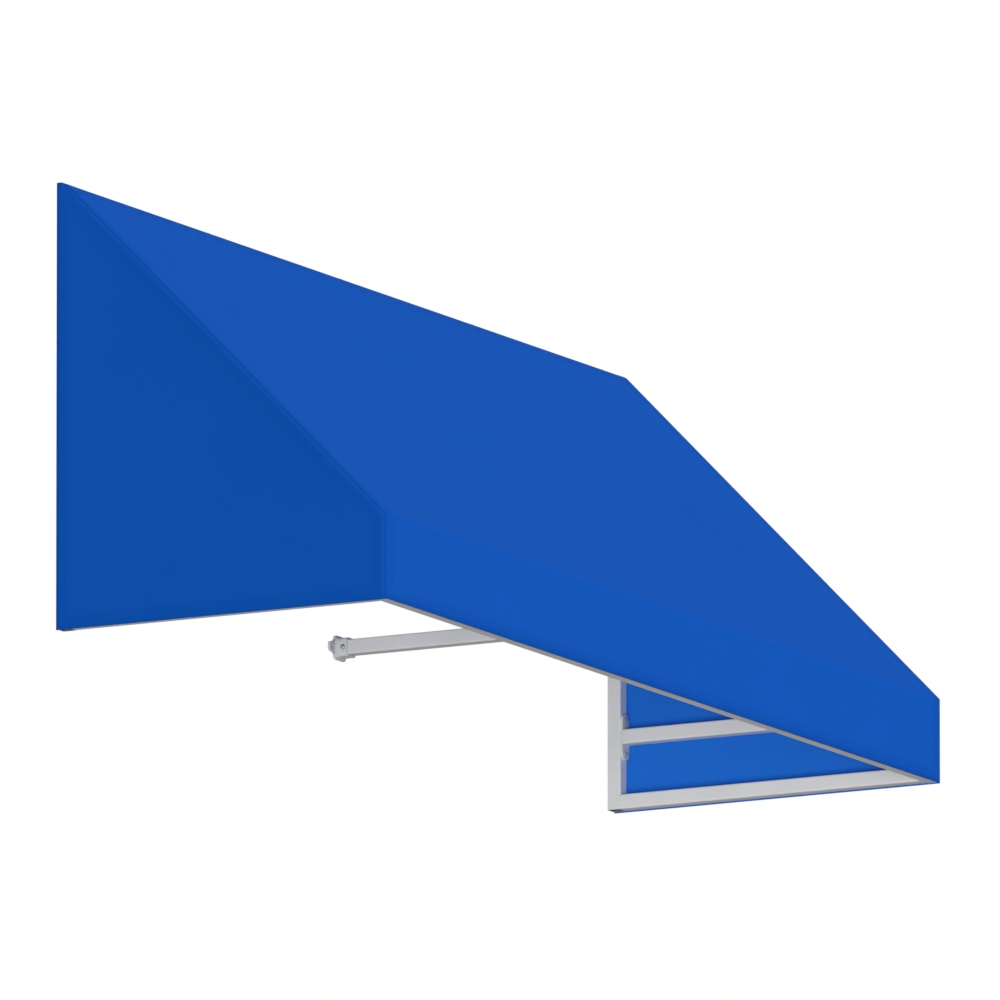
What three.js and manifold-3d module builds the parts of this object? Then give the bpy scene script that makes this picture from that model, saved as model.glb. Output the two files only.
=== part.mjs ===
// A fixed window awning: a frame of square steel tube under a stretched canvas cover.
// The roof falls from the wall to a crease, then the front drops straight to the hem.
// Millimetres, +Z up. The wall is the plane Y = +DEPTH / 2, the front looks along -Y,
// X runs across, and Z = 0 is the lower edge of the cover.

import * as THREE from 'three';
import { mergeVertices } from 'three/addons/utils/BufferGeometryUtils.js';
import Module from 'manifold-3d';

const wasm = await Module();
wasm.setup();

// Whole awning, over the cover
const WIDTH = 1946;
const DEPTH = 614;
const HEIGHT = 744;
const CREASE_HEIGHT = 142;

// Clearance between pieces that touch on the real awning
const GAP = 0.3;

// Canvas cover
const CLOTH = 1.2;
const HEM_DROP = 2;
const TOP_LEDGE = 7.5;
const ROOF_START = { in: 24.3, down: 6.6 };

// Square frame tube
const TUBE = 25;
const TUBE_WALL = 1.2;
const TUBE_CORNER = 3;
const HEADER_DROP = 9;
const ARM_TOP = 137;

// Wall socket of the middle arm
const SOCKET = {
  flange: 4,
  length: 24,
  wall: 3,
  collar: 3,
  collarHeight: 5,
  halfLong: 37,
  halfEar: 7.5,
  halfLobe: 18,
  halfHigh: 20,
  hole: 5.5,
  holeOffset: 28,
  round: 4,
  lobeTaper: 0.5,
};
// The hollow where an ear of the socket's flange meets its lobe: how far past the lobe it
// starts, how much wider the ear is there, and the point its curve is drawn towards.
const HOLLOW = { past: 8, wider: 1.5, pull: { out: 1, up: 3 } };

// Flanged and plain spigots that the arm ends slide over
const SPIGOT = { length: 32, wall: 2.2, corner: 1.8, base: 3 };
const EARS = { thick: 4, halfLong: 39, hole: 29 };

// Wall clips, folded from strip
const CLIP = { frameLeg: 24, wallLeg: 42, width: 30, thick: 3, bend: 5, boltHole: 8.4, boltDown: 28 };
const UPRIGHT_CLIP_HEIGHT = 400;
const HEADER_CLIP_OFFSET = 700;

// Batten under the top edge of the cover, screwed down onto the header
const BATTEN_DEPTH = 7;
const BATTEN_SCREW_PITCH = 460;

// Self-tapping screws
const SCREW = { shank: 2.1, head: 4, rise: 2.4, slot: 1, slotLong: 4.4, slotDeep: 1.3, length: 15 };
const BATTEN_SCREW = { shank: 2, head: 3.4, rise: 1.7, slot: 0.9, slotLong: 3.8, slotDeep: 0.8, length: 14 };
const CROSS_SCREW_LENGTH = 9;
const CROSS_SCREW_INSET = 16;
// A pan head's side as a share of its rise, its crown as shares of its radius, and the
// tip's length as a share of the shank's radius
const PAN = { side: 0.45, crownOut: 0.9, crownIn: 0.4, tip: 0.8 };

const ROUND_SIDES = 12;
const CORNER_STEPS = 2;
const OUTLINE_STEPS = 3;

// Worked-out places
const WALL_Y = DEPTH / 2;
const FRONT_Y = -DEPTH / 2;
const CLEAR = CLOTH + GAP;
const FRAME_HALF = WIDTH / 2 - CLEAR;
const SIDE_X = FRAME_HALF - TUBE / 2;
const BACK_ROW_Y = WALL_Y - TUBE / 2;
const FRONT_ROW_Y = FRONT_Y + CLEAR + TUBE / 2;
const BACK_FACE_Y = WALL_Y - TUBE;
const FRONT_FACE_Y = FRONT_ROW_Y + TUBE / 2;
const LOW_Z = HEM_DROP + TUBE / 2;
const ARM_Z = ARM_TOP - TUBE / 2;
const HEADER_TOP = HEIGHT - HEADER_DROP;
const HEADER_Z = HEADER_TOP - TUBE / 2;

const LIGHT_GREY = { color: 0xb9b9b9, roughness: 0.5, metalness: 0.1 };
const CAST_GREY = { color: 0xb2b2b2, roughness: 0.55, metalness: 0.1 };
const ZINC = { color: 0xc4c6c8, roughness: 0.35, metalness: 0.9 };
const BLUE_CANVAS = { color: 0x1251b4, roughness: 0.9, metalness: 0 };

// ---------------------------------------------------------------- solids

// A closed geometry as a solid that can be cut and joined.
function solid(geometry) {
  const bare = geometry.clone();
  bare.deleteAttribute('normal');
  bare.deleteAttribute('uv');
  const merged = mergeVertices(bare);
  const mesh = new wasm.Mesh({
    numProp: 3,
    vertProperties: new Float32Array(merged.attributes.position.array),
    triVerts: new Uint32Array(merged.index.array),
  });
  return new wasm.Manifold(mesh);
}

// A solid back as a geometry.
function geometryOf(body) {
  const { vertProperties, triVerts } = body.getMesh();
  const geometry = new THREE.BufferGeometry();
  geometry.setAttribute('position', new THREE.BufferAttribute(new Float32Array(vertProperties), 3));
  geometry.setIndex(new THREE.BufferAttribute(new Uint32Array(triVerts), 1));
  return geometry;
}

// A square outline with round corners, as the path to extrude or to leave open.
function roundedSquare(side, corner, path = new THREE.Shape()) {
  const half = side / 2;
  const inner = half - corner;
  path.moveTo(half, -inner);
  path.absarc(inner, inner, corner, 0, Math.PI / 2);
  path.absarc(-inner, inner, corner, Math.PI / 2, Math.PI);
  path.absarc(-inner, -inner, corner, Math.PI, 1.5 * Math.PI);
  path.absarc(inner, -inner, corner, 1.5 * Math.PI, 2 * Math.PI);
  return path;
}

function extrude(shape, depth, extra = {}) {
  const options = { depth, bevelEnabled: false, curveSegments: CORNER_STEPS, ...extra };
  return new THREE.ExtrudeGeometry(shape, options);
}

// A length of the frame tube along +Z, centred on its own axis.
function tubeAlongZ(length) {
  const section = roundedSquare(TUBE, TUBE_CORNER);
  const bore = roundedSquare(TUBE - 2 * TUBE_WALL, TUBE_CORNER - TUBE_WALL, new THREE.Path());
  section.holes.push(bore);
  return extrude(section, length).translate(0, 0, -length / 2);
}

function tubeAlongX(length) {
  return tubeAlongZ(length).rotateY(Math.PI / 2);
}

function tubeAlongY(length) {
  return tubeAlongZ(length).rotateX(Math.PI / 2);
}

// A drill of the screw's clearance size through a point, along one axis.
function drill(point, axis, radius, length) {
  const bit = new THREE.CylinderGeometry(radius, radius, length, ROUND_SIDES);
  if (axis === 'x') bit.rotateZ(Math.PI / 2);
  if (axis === 'z') bit.rotateX(Math.PI / 2);
  return solid(bit.translate(...point));
}

function drilled(geometry, drills) {
  return geometryOf(drills.reduce((body, bit) => body.subtract(bit), solid(geometry)));
}

// Clearance hole for a screw through one tube wall, at a point on that wall.
function screwHole(point, axis, shank = SCREW.shank) {
  return drill(point, axis, shank + GAP, 2 * TUBE_CORNER);
}

// ---------------------------------------------------------------- scene helpers

const awning = new THREE.Group();

function add(name, geometry, finish, position = [0, 0, 0], rotation = [0, 0, 0]) {
  const material = new THREE.MeshStandardMaterial({ ...finish, flatShading: true });
  const mesh = new THREE.Mesh(geometry, material);
  mesh.name = name;
  mesh.position.set(...position);
  mesh.rotation.set(...rotation);
  awning.add(mesh);
  return mesh;
}

// Turns that point a screw's head, which is made looking along +Z, another way.
const HEAD_TO = {
  up: [0, 0, 0],
  down: [Math.PI, 0, 0],
  front: [Math.PI / 2, 0, 0],
  wall: [-Math.PI / 2, 0, 0],
  left: [0, -Math.PI / 2, 0],
  right: [0, Math.PI / 2, 0],
};

// A pan-head screw with a cross slot. Its head sits on Z = 0 and its shank runs down.
function panScrew({ shank, head, rise, slot, slotLong, slotDeep }, length) {
  const edge = rise * PAN.side;
  const tip = shank * PAN.tip;
  const profile = new THREE.Path();
  profile.moveTo(0, -length);
  profile.lineTo(shank, -length + tip);
  profile.lineTo(shank, 0);
  profile.lineTo(head, 0);
  profile.lineTo(head, edge);
  profile.quadraticCurveTo(head * PAN.crownOut, rise, head * PAN.crownIn, rise);
  profile.lineTo(0, rise);
  const blank = new THREE.LatheGeometry(profile.getPoints(2), ROUND_SIDES).rotateX(Math.PI / 2);
  const cutDepth = 2 * slotDeep;
  const across = solid(new THREE.BoxGeometry(slotLong, slot, cutDepth).translate(0, 0, rise));
  const along = solid(new THREE.BoxGeometry(slot, slotLong, cutDepth).translate(0, 0, rise));
  return geometryOf(solid(blank).subtract(across).subtract(along));
}

// ---------------------------------------------------------------- the cover's side profile

// The outer line of roof and front in (Y, Z), from the wall down to the hem.
const ROOF_LINE = [
  new THREE.Vector2(WALL_Y, HEIGHT),
  new THREE.Vector2(WALL_Y - TOP_LEDGE, HEIGHT),
  new THREE.Vector2(WALL_Y - ROOF_START.in, HEIGHT - ROOF_START.down),
  new THREE.Vector2(FRONT_Y, CREASE_HEIGHT),
  new THREE.Vector2(FRONT_Y, 0),
];

// Where two lines, each a point and a direction, cross.
function crossing(pointA, directionA, pointB, directionB) {
  const along = pointB.clone().sub(pointA).cross(directionB) / directionA.cross(directionB);
  return pointA.clone().addScaledVector(directionA, along);
}

// The roof line moved inwards by a distance, square to each of its stretches.
function insetRoofLine(distance) {
  const stretches = ROOF_LINE.slice(1).map((end, i) => {
    const direction = end.clone().sub(ROOF_LINE[i]).normalize();
    const inwards = new THREE.Vector2(-direction.y, direction.x);
    return { point: ROOF_LINE[i].clone().addScaledVector(inwards, distance), direction };
  });
  const corners = stretches.slice(1).map((next, i) => {
    const before = stretches[i];
    return crossing(before.point, before.direction, next.point, next.direction);
  });
  const last = stretches[stretches.length - 1];
  const foot = new THREE.Vector2(last.point.x, 0);
  return [stretches[0].point, ...corners, foot];
}

// A side outline in (Y, Z) as a plate of a given thickness, centred on X = 0.
function sidePlate(points, thickness) {
  const plate = extrude(new THREE.Shape(points), thickness);
  plate.translate(0, 0, -thickness / 2);
  plate.rotateX(Math.PI / 2);
  return plate.rotateZ(Math.PI / 2);
}

// ---------------------------------------------------------------- frame tubes

function addRails() {
  const full = 2 * FRAME_HALF;
  const headerHoles = [
    ...battenScrewPlaces().map((x) =>
      screwHole([x, battenY() - BACK_ROW_Y, TUBE / 2], 'z', BATTEN_SCREW.shank)),
    ...[-HEADER_CLIP_OFFSET, 0, HEADER_CLIP_OFFSET].map((x) =>
      screwHole([x, clipScrewY() - BACK_ROW_Y, -TUBE / 2], 'z')),
  ];
  const railHoles = [-SIDE_X, -EARS.hole, EARS.hole, SIDE_X].map((x) =>
    screwHole([x, TUBE / 2, 0], 'y'));
  const header = drilled(tubeAlongX(full), headerHoles);
  const eaveRail = drilled(tubeAlongX(full), railHoles);
  add('header_tube', header, LIGHT_GREY, [0, BACK_ROW_Y, HEADER_Z]);
  add('eave_rail', eaveRail, LIGHT_GREY, [0, FRONT_ROW_Y, ARM_Z]);
  add('front_bottom_rail', tubeAlongX(full), LIGHT_GREY, [0, FRONT_ROW_Y, LOW_Z]);
}

function addUprights() {
  const foot = HEM_DROP;
  const top = HEADER_TOP - TUBE - GAP;
  const middle = (foot + top) / 2;
  for (const [side, sign] of [['left', -1], ['right', 1]]) {
    const holes = [
      screwHole([0, -TUBE / 2, ARM_Z - EARS.hole - middle], 'y'),
      screwHole([0, -TUBE / 2, ARM_Z + EARS.hole - middle], 'y'),
      screwHole([-sign * TUBE / 2, clipScrewY() - BACK_ROW_Y, UPRIGHT_CLIP_HEIGHT - middle], 'x'),
    ];
    const upright = drilled(tubeAlongZ(top - foot), holes);
    add(`${side}_upright`, upright, LIGHT_GREY, [sign * SIDE_X, BACK_ROW_Y, middle]);
  }
}

// The rafters lie under the roof, cut plumb at the header and front and level on the rail.
function addRafters() {
  const inner = insetRoofLine(CLEAR);
  const top = inner[2];
  const nose = inner[3];
  const run = nose.clone().sub(top);
  const slope = Math.atan2(-run.y, -run.x);
  const long = run.length() + 4 * TUBE;
  const middle = top.clone().add(nose).multiplyScalar(0.5);
  const inwards = new THREE.Vector2(-run.y, run.x).normalize();
  const axis = middle.addScaledVector(inwards, TUBE / 2);
  const blank = tubeAlongY(long).rotateX(slope).translate(0, axis.x, axis.y);
  const plumbTop = BACK_FACE_Y - GAP;
  const level = ARM_TOP + GAP;
  const reach = [
    new THREE.Vector2(plumbTop, HEIGHT),
    new THREE.Vector2(nose.x, HEIGHT),
    new THREE.Vector2(nose.x, level),
    new THREE.Vector2(plumbTop, level),
  ];
  const rafter = geometryOf(solid(blank).intersect(solid(sidePlate(reach, 2 * TUBE))));
  add('left_rafter', rafter, LIGHT_GREY, [-SIDE_X, 0, 0]);
  add('middle_rafter', rafter, LIGHT_GREY);
  add('right_rafter', rafter, LIGHT_GREY, [SIDE_X, 0, 0]);
}

function addFrontPosts() {
  const foot = HEM_DROP + TUBE + GAP;
  const top = ARM_TOP - TUBE - GAP;
  const post = tubeAlongZ(top - foot);
  const middle = (foot + top) / 2;
  add('left_front_post', post, LIGHT_GREY, [-SIDE_X, FRONT_ROW_Y, middle]);
  add('middle_front_post', post, LIGHT_GREY, [0, FRONT_ROW_Y, middle]);
  add('right_front_post', post, LIGHT_GREY, [SIDE_X, FRONT_ROW_Y, middle]);
}

function addBottomTubes() {
  const back = BACK_FACE_Y - GAP;
  const front = FRONT_FACE_Y + GAP;
  const tube = tubeAlongY(back - front);
  const middle = (back + front) / 2;
  add('left_bottom_tube', tube, LIGHT_GREY, [-SIDE_X, middle, LOW_Z]);
  add('right_bottom_tube', tube, LIGHT_GREY, [SIDE_X, middle, LOW_Z]);
}

// An arm from one Y to another, with a screw hole in its underside near each spigot,
// or, where the wall socket holds its end, in its side.
function armTube(back, front, backHole) {
  const middle = (back + front) / 2;
  const frontHole = screwHole([0, front + CROSS_SCREW_INSET - middle, -TUBE / 2], 'z');
  return { tube: drilled(tubeAlongY(back - front), [backHole(middle), frontHole]), middle };
}

function addArms() {
  const sideBack = BACK_FACE_Y - EARS.thick - 2 * GAP;
  const sideFront = FRONT_FACE_Y + GAP;
  const side = armTube(sideBack, sideFront, (middle) =>
    screwHole([0, sideBack - CROSS_SCREW_INSET - middle, -TUBE / 2], 'z'));
  add('left_arm', side.tube, LIGHT_GREY, [-SIDE_X, side.middle, ARM_Z]);
  add('right_arm', side.tube, LIGHT_GREY, [SIDE_X, side.middle, ARM_Z]);

  const socketBottom = WALL_Y - SOCKET.flange - GAP;
  const railFlange = FRONT_FACE_Y + EARS.thick + 2 * GAP;
  const centre = armTube(socketBottom, railFlange, (middle) =>
    screwHole([-TUBE / 2, setScrewY() - middle, 0], 'x'));
  add('middle_arm', centre.tube, LIGHT_GREY, [0, centre.middle, ARM_Z]);
}

// ---------------------------------------------------------------- wall socket

function setScrewY() {
  return WALL_Y - (SOCKET.collarHeight + SOCKET.flange + SOCKET.length) / 2;
}

// One quarter of the flange's clover outline, mirrored to all four.
function cloverOutline() {
  const { halfLong, halfEar, halfLobe, halfHigh, round, lobeTaper } = SOCKET;
  const pullX = halfLobe + HOLLOW.pull.out;
  const pullY = halfEar + HOLLOW.pull.up;
  const quarter = new THREE.Path();
  quarter.moveTo(halfLong, 0);
  quarter.lineTo(halfLong, halfEar - round);
  quarter.quadraticCurveTo(halfLong, halfEar, halfLong - round, halfEar);
  quarter.lineTo(halfLobe + HOLLOW.past, halfEar + HOLLOW.wider);
  quarter.quadraticCurveTo(pullX, pullY, halfLobe, halfHigh - round);
  quarter.quadraticCurveTo(halfLobe - lobeTaper, halfHigh, halfLobe - round, halfHigh);
  quarter.lineTo(0, halfHigh);
  const first = quarter.getPoints(OUTLINE_STEPS);
  const turned = [...first].reverse();
  const quarters = [[first, 1, 1], [turned, -1, 1], [first, -1, -1], [turned, 1, -1]];
  return quarters.flatMap(([points, flipX, flipY]) =>
    points.slice(0, -1).map((p) => new THREE.Vector2(flipX * p.x, flipY * p.y)));
}

// Cast socket for the arm's wall end: clover flange, sloping collar and square sleeve.
// Made with the wall face on Z = 0 and the sleeve rising along +Z.
function wallSocket() {
  const bore = TUBE + 2 * GAP;
  const outer = bore + 2 * SOCKET.wall;
  const flange = solid(extrude(new THREE.Shape(cloverOutline()), SOCKET.flange));
  const sleeve = solid(extrude(roundedSquare(outer, TUBE_CORNER + SOCKET.wall), SOCKET.length));
  const collar = solid(extrude(roundedSquare(outer, TUBE_CORNER + SOCKET.wall), SOCKET.flange, {
    bevelEnabled: true,
    bevelThickness: SOCKET.collarHeight,
    bevelSize: SOCKET.collar,
    bevelSegments: 1,
  }));
  const boreDepth = SOCKET.length;
  const pocket = extrude(roundedSquare(bore, TUBE_CORNER + GAP), boreDepth);
  const behind = new THREE.BoxGeometry(4 * TUBE, 4 * TUBE, TUBE).translate(0, 0, -TUBE / 2);
  const setHeight = WALL_Y - setScrewY();
  const boltHoles = [-SOCKET.holeOffset, SOCKET.holeOffset].map((x) =>
    drill([x, 0, 0], 'z', SOCKET.hole / 2, 4 * SOCKET.flange));
  const cuts = [
    solid(pocket.translate(0, 0, SOCKET.flange)),
    solid(behind),
    drill([-outer / 2, 0, setHeight], 'x', SCREW.shank + GAP, 4 * SOCKET.wall),
    ...boltHoles,
  ];
  const body = flange.add(sleeve).add(collar);
  return geometryOf(cuts.reduce((left, cut) => left.subtract(cut), body));
}

function addWallSocket() {
  const outerHalf = TUBE / 2 + GAP + SOCKET.wall;
  add('middle_arm_wall_socket', wallSocket(), CAST_GREY, [0, WALL_Y, ARM_Z], [Math.PI / 2, 0, 0]);
  const screw = panScrew(SCREW, CROSS_SCREW_LENGTH);
  add('wall_socket_set_screw', screw, ZINC, [-outerHalf - GAP, setScrewY(), ARM_Z], HEAD_TO.left);
}

// ---------------------------------------------------------------- spigots

// The square post that fills an arm's end, hollow and open at its free end.
function spigotBody(base) {
  const side = TUBE - 2 * TUBE_WALL - 2 * GAP;
  const post = solid(extrude(roundedSquare(side, SPIGOT.corner), SPIGOT.length));
  const boreSide = side - 2 * SPIGOT.wall;
  const bore = extrude(roundedSquare(boreSide, SPIGOT.corner / 2), SPIGOT.length);
  return post.subtract(solid(bore.translate(0, 0, base)));
}

// Spigot with an eared flange, its back on Z = 0 and its ears along X.
function flangedSpigot() {
  const end = EARS.halfLong - TUBE / 2;
  const outline = new THREE.Shape();
  outline.absarc(end, 0, TUBE / 2, -Math.PI / 2, Math.PI / 2);
  outline.absarc(-end, 0, TUBE / 2, Math.PI / 2, 1.5 * Math.PI);
  const plate = solid(extrude(outline, EARS.thick, { curveSegments: OUTLINE_STEPS }));
  const crossHeight = EARS.thick + GAP + CROSS_SCREW_INSET;
  const cuts = [
    drill([-EARS.hole, 0, 0], 'z', SCREW.shank + GAP, 4 * EARS.thick),
    drill([EARS.hole, 0, 0], 'z', SCREW.shank + GAP, 4 * EARS.thick),
    drill([0, -TUBE / 2, crossHeight], 'y', SCREW.shank + GAP, TUBE / 2),
    drill([-TUBE / 2, 0, crossHeight], 'x', SCREW.shank + GAP, TUBE / 2),
  ];
  const body = plate.add(spigotBody(EARS.thick));
  return geometryOf(cuts.reduce((left, cut) => left.subtract(cut), body));
}

function plainSpigot() {
  const cuts = [
    drill([0, 0, 0], 'z', SCREW.shank + GAP, 4 * SPIGOT.base),
    drill([0, -TUBE / 2, CROSS_SCREW_INSET], 'y', SCREW.shank + GAP, TUBE / 2),
  ];
  return geometryOf(cuts.reduce((left, cut) => left.subtract(cut), spigotBody(SPIGOT.base)));
}

// Turns a front spigot so that its post points at the wall.
const TO_WALL = [-Math.PI / 2, 0, Math.PI];

function addSpigots() {
  const flanged = flangedSpigot();
  const plain = plainSpigot();
  const flangeScrew = panScrew(SCREW, SCREW.length);
  const crossScrew = panScrew(SCREW, CROSS_SCREW_LENGTH);
  const underArm = ARM_TOP - TUBE - GAP;
  const railBack = FRONT_FACE_Y + GAP;

  for (const [side, sign] of [['left', -1], ['right', 1]]) {
    const x = sign * SIDE_X;
    const uprightFace = BACK_FACE_Y - GAP;
    const headY = uprightFace - EARS.thick - GAP;
    const screwY = uprightFace - EARS.thick - GAP - CROSS_SCREW_INSET;
    const upEars = [Math.PI / 2, 0, Math.PI / 2];
    add(`${side}_arm_rear_spigot`, flanged, CAST_GREY, [x, uprightFace, ARM_Z], upEars);
    for (const [end, lift] of [['low', -EARS.hole], ['high', EARS.hole]]) {
      const name = `${side}_rear_spigot_screw_${end}`;
      add(name, flangeScrew, ZINC, [x, headY, ARM_Z + lift], HEAD_TO.front);
    }
    add(`${side}_arm_rear_cross_screw`, crossScrew, ZINC, [x, screwY, underArm], HEAD_TO.down);

    const baseHead = railBack + SPIGOT.base + GAP;
    const frontScrewY = railBack + CROSS_SCREW_INSET;
    add(`${side}_arm_front_spigot`, plain, CAST_GREY, [x, railBack, ARM_Z], TO_WALL);
    add(`${side}_front_spigot_screw`, flangeScrew, ZINC, [x, baseHead, ARM_Z], HEAD_TO.wall);
    add(`${side}_arm_front_cross_screw`, crossScrew, ZINC, [x, frontScrewY, underArm], HEAD_TO.down);
  }

  const headY = railBack + EARS.thick + GAP;
  const screwY = railBack + EARS.thick + GAP + CROSS_SCREW_INSET;
  add('middle_arm_front_spigot', flanged, CAST_GREY, [0, railBack, ARM_Z], TO_WALL);
  for (const [side, x] of [['left', -EARS.hole], ['right', EARS.hole]]) {
    const name = `middle_front_spigot_screw_${side}`;
    add(name, flangeScrew, ZINC, [x, headY, ARM_Z], HEAD_TO.wall);
  }
  add('middle_arm_front_cross_screw', crossScrew, ZINC, [0, screwY, underArm], HEAD_TO.down);
}

// ---------------------------------------------------------------- wall clips

function clipScrewY() {
  return WALL_Y - (CLIP.frameLeg + CLIP.thick) / 2;
}

// A folded angle: one leg on the wall, drilled for a bolt, the other on the frame.
// Made with the frame leg's face on Z = 0, the wall on Y = 0 and the wall leg hanging down.
function wallClip() {
  const { frameLeg, wallLeg, width, thick, bend } = CLIP;
  const outline = new THREE.Shape();
  outline.moveTo(-frameLeg, 0);
  outline.lineTo(-bend, 0);
  outline.absarc(-bend, -bend, bend, Math.PI / 2, 0, true);
  outline.lineTo(0, -wallLeg);
  outline.lineTo(-thick, -wallLeg);
  outline.lineTo(-thick, -bend);
  outline.absarc(-bend, -bend, bend - thick, 0, Math.PI / 2);
  outline.lineTo(-frameLeg, -thick);
  outline.closePath();
  const angle = sidePlate(outline.getPoints(OUTLINE_STEPS), width);
  const screwY = clipScrewY() - WALL_Y;
  return drilled(angle, [
    drill([0, screwY, -thick / 2], 'z', SCREW.shank + GAP, 4 * thick),
    drill([0, -thick / 2, -CLIP.boltDown], 'y', CLIP.boltHole / 2, 4 * thick),
  ]);
}

function addWallClips() {
  const clip = wallClip();
  const screw = panScrew(SCREW, SCREW.length);
  const headerFace = HEADER_TOP - TUBE - GAP;
  const headDrop = CLIP.thick + GAP;
  for (const [place, sign] of [['left', -1], ['middle', 0], ['right', 1]]) {
    const x = sign * HEADER_CLIP_OFFSET;
    add(`${place}_header_clip`, clip, ZINC, [x, WALL_Y, headerFace]);
    const headZ = headerFace - headDrop;
    add(`${place}_header_clip_screw`, screw, ZINC, [x, clipScrewY(), headZ], HEAD_TO.down);
  }
  for (const [side, sign] of [['left', -1], ['right', 1]]) {
    const face = sign * (SIDE_X - TUBE / 2 - GAP);
    const headX = face - sign * headDrop;
    const turn = [0, sign * Math.PI / 2, 0];
    add(`${side}_upright_clip`, clip, ZINC, [face, WALL_Y, UPRIGHT_CLIP_HEIGHT], turn);
    const inwards = sign > 0 ? HEAD_TO.left : HEAD_TO.right;
    const headPlace = [headX, clipScrewY(), UPRIGHT_CLIP_HEIGHT];
    add(`${side}_upright_clip_screw`, screw, ZINC, headPlace, inwards);
  }
}

// ---------------------------------------------------------------- cover and batten

function battenScrewPlaces() {
  return [-2, -1, 0, 1, 2].map((step) => step * BATTEN_SCREW_PITCH);
}

function battenY() {
  return WALL_Y - BATTEN_DEPTH / 2;
}

function addBatten() {
  const foot = HEADER_TOP + GAP;
  const top = HEIGHT - CLEAR;
  const high = top - foot;
  const long = 2 * FRAME_HALF;
  const bar = new THREE.BoxGeometry(long, BATTEN_DEPTH, high);
  const holes = battenScrewPlaces().map((x) =>
    drill([x, 0, 0], 'z', BATTEN_SCREW.shank + GAP, 2 * high));
  add('top_batten', drilled(bar, holes), ZINC, [0, battenY(), (foot + top) / 2]);
  const screw = panScrew(BATTEN_SCREW, BATTEN_SCREW.length);
  battenScrewPlaces().forEach((x, i) => {
    add(`batten_screw_${i + 1}`, screw, ZINC, [x, battenY(), HEIGHT + GAP], HEAD_TO.up);
  });
}

// Roof and front are one piece of canvas, bent at the crease and screwed down along the top.
function addMainPanel() {
  const outline = [...ROOF_LINE, ...insetRoofLine(CLOTH).reverse()];
  const holes = battenScrewPlaces().map((x) =>
    drill([x, battenY(), HEIGHT], 'z', BATTEN_SCREW.shank + GAP, 4 * CLOTH));
  add('cover_main_panel', drilled(sidePlate(outline, WIDTH), holes), BLUE_CANVAS);
}

function addWings() {
  const outline = [...insetRoofLine(CLEAR), new THREE.Vector2(WALL_Y, 0)];
  const wing = sidePlate(outline, CLOTH);
  const x = (WIDTH - CLOTH) / 2;
  add('cover_left_wing', wing, BLUE_CANVAS, [-x, 0, 0]);
  add('cover_right_wing', wing, BLUE_CANVAS, [x, 0, 0]);
}

addRails();
addUprights();
addRafters();
addFrontPosts();
addBottomTubes();
addArms();
addWallSocket();
addSpigots();
addWallClips();
addBatten();
addMainPanel();
addWings();

export default awning;
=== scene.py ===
import math

import bmesh
import bpy
from mathutils import Matrix, Vector, noise


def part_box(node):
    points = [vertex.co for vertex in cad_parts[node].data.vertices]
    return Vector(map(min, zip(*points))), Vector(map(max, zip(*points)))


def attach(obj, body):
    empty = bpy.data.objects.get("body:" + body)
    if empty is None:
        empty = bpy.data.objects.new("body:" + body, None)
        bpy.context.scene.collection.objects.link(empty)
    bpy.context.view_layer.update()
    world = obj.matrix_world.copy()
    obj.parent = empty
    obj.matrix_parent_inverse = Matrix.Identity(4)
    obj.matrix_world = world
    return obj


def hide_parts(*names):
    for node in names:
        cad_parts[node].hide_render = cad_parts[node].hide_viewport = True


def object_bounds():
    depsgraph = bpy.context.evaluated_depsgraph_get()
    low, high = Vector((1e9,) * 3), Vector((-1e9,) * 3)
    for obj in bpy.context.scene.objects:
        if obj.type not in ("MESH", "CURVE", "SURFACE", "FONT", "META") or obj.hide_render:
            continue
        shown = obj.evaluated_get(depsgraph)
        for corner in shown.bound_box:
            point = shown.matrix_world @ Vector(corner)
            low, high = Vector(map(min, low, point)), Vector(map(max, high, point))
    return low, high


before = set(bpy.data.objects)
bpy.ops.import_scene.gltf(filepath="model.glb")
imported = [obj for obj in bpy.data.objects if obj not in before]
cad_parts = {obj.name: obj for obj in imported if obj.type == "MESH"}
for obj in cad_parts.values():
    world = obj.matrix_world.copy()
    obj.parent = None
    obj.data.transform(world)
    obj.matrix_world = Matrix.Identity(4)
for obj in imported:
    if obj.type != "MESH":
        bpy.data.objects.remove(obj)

cad_low, cad_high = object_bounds()

# ======================================================================= the viewpoint
# Far off, low and to the left of the front, looking slightly up under the canvas. The lens is
# long, so that parallel tubes stay parallel.
VIEW_ROUND = math.radians(-61.93)
VIEW_ABOVE = math.radians(-10.44)
LENS_MM = 1600
SENSOR_MM = 36
VIEW_WIDTH = 1.6489
VIEW_ASIDE = -0.0041
VIEW_DROP = 0.0248

back = Vector((
    math.sin(VIEW_ROUND) * math.cos(VIEW_ABOVE),
    -math.cos(VIEW_ROUND) * math.cos(VIEW_ABOVE),
    math.sin(VIEW_ABOVE),
))
aside = Vector((math.cos(VIEW_ROUND), math.sin(VIEW_ROUND), 0))
upward = back.cross(aside)
half_height = Vector((0, 0, (cad_low.z + cad_high.z) / 2))
looked_at = half_height + aside * VIEW_ASIDE - upward * VIEW_DROP

camera = bpy.data.objects.new("camera", bpy.data.cameras.new("camera"))
camera.data.lens = LENS_MM
camera.data.sensor_width = SENSOR_MM
camera.data.clip_start = 1
camera.data.clip_end = 300
camera.location = looked_at + back * (VIEW_WIDTH * LENS_MM / SENSOR_MM)
camera.rotation_mode = "QUATERNION"
camera.rotation_quaternion = (-back).to_track_quat("-Z", "Y")
bpy.context.scene.collection.objects.link(camera)
bpy.context.scene.camera = camera

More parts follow.
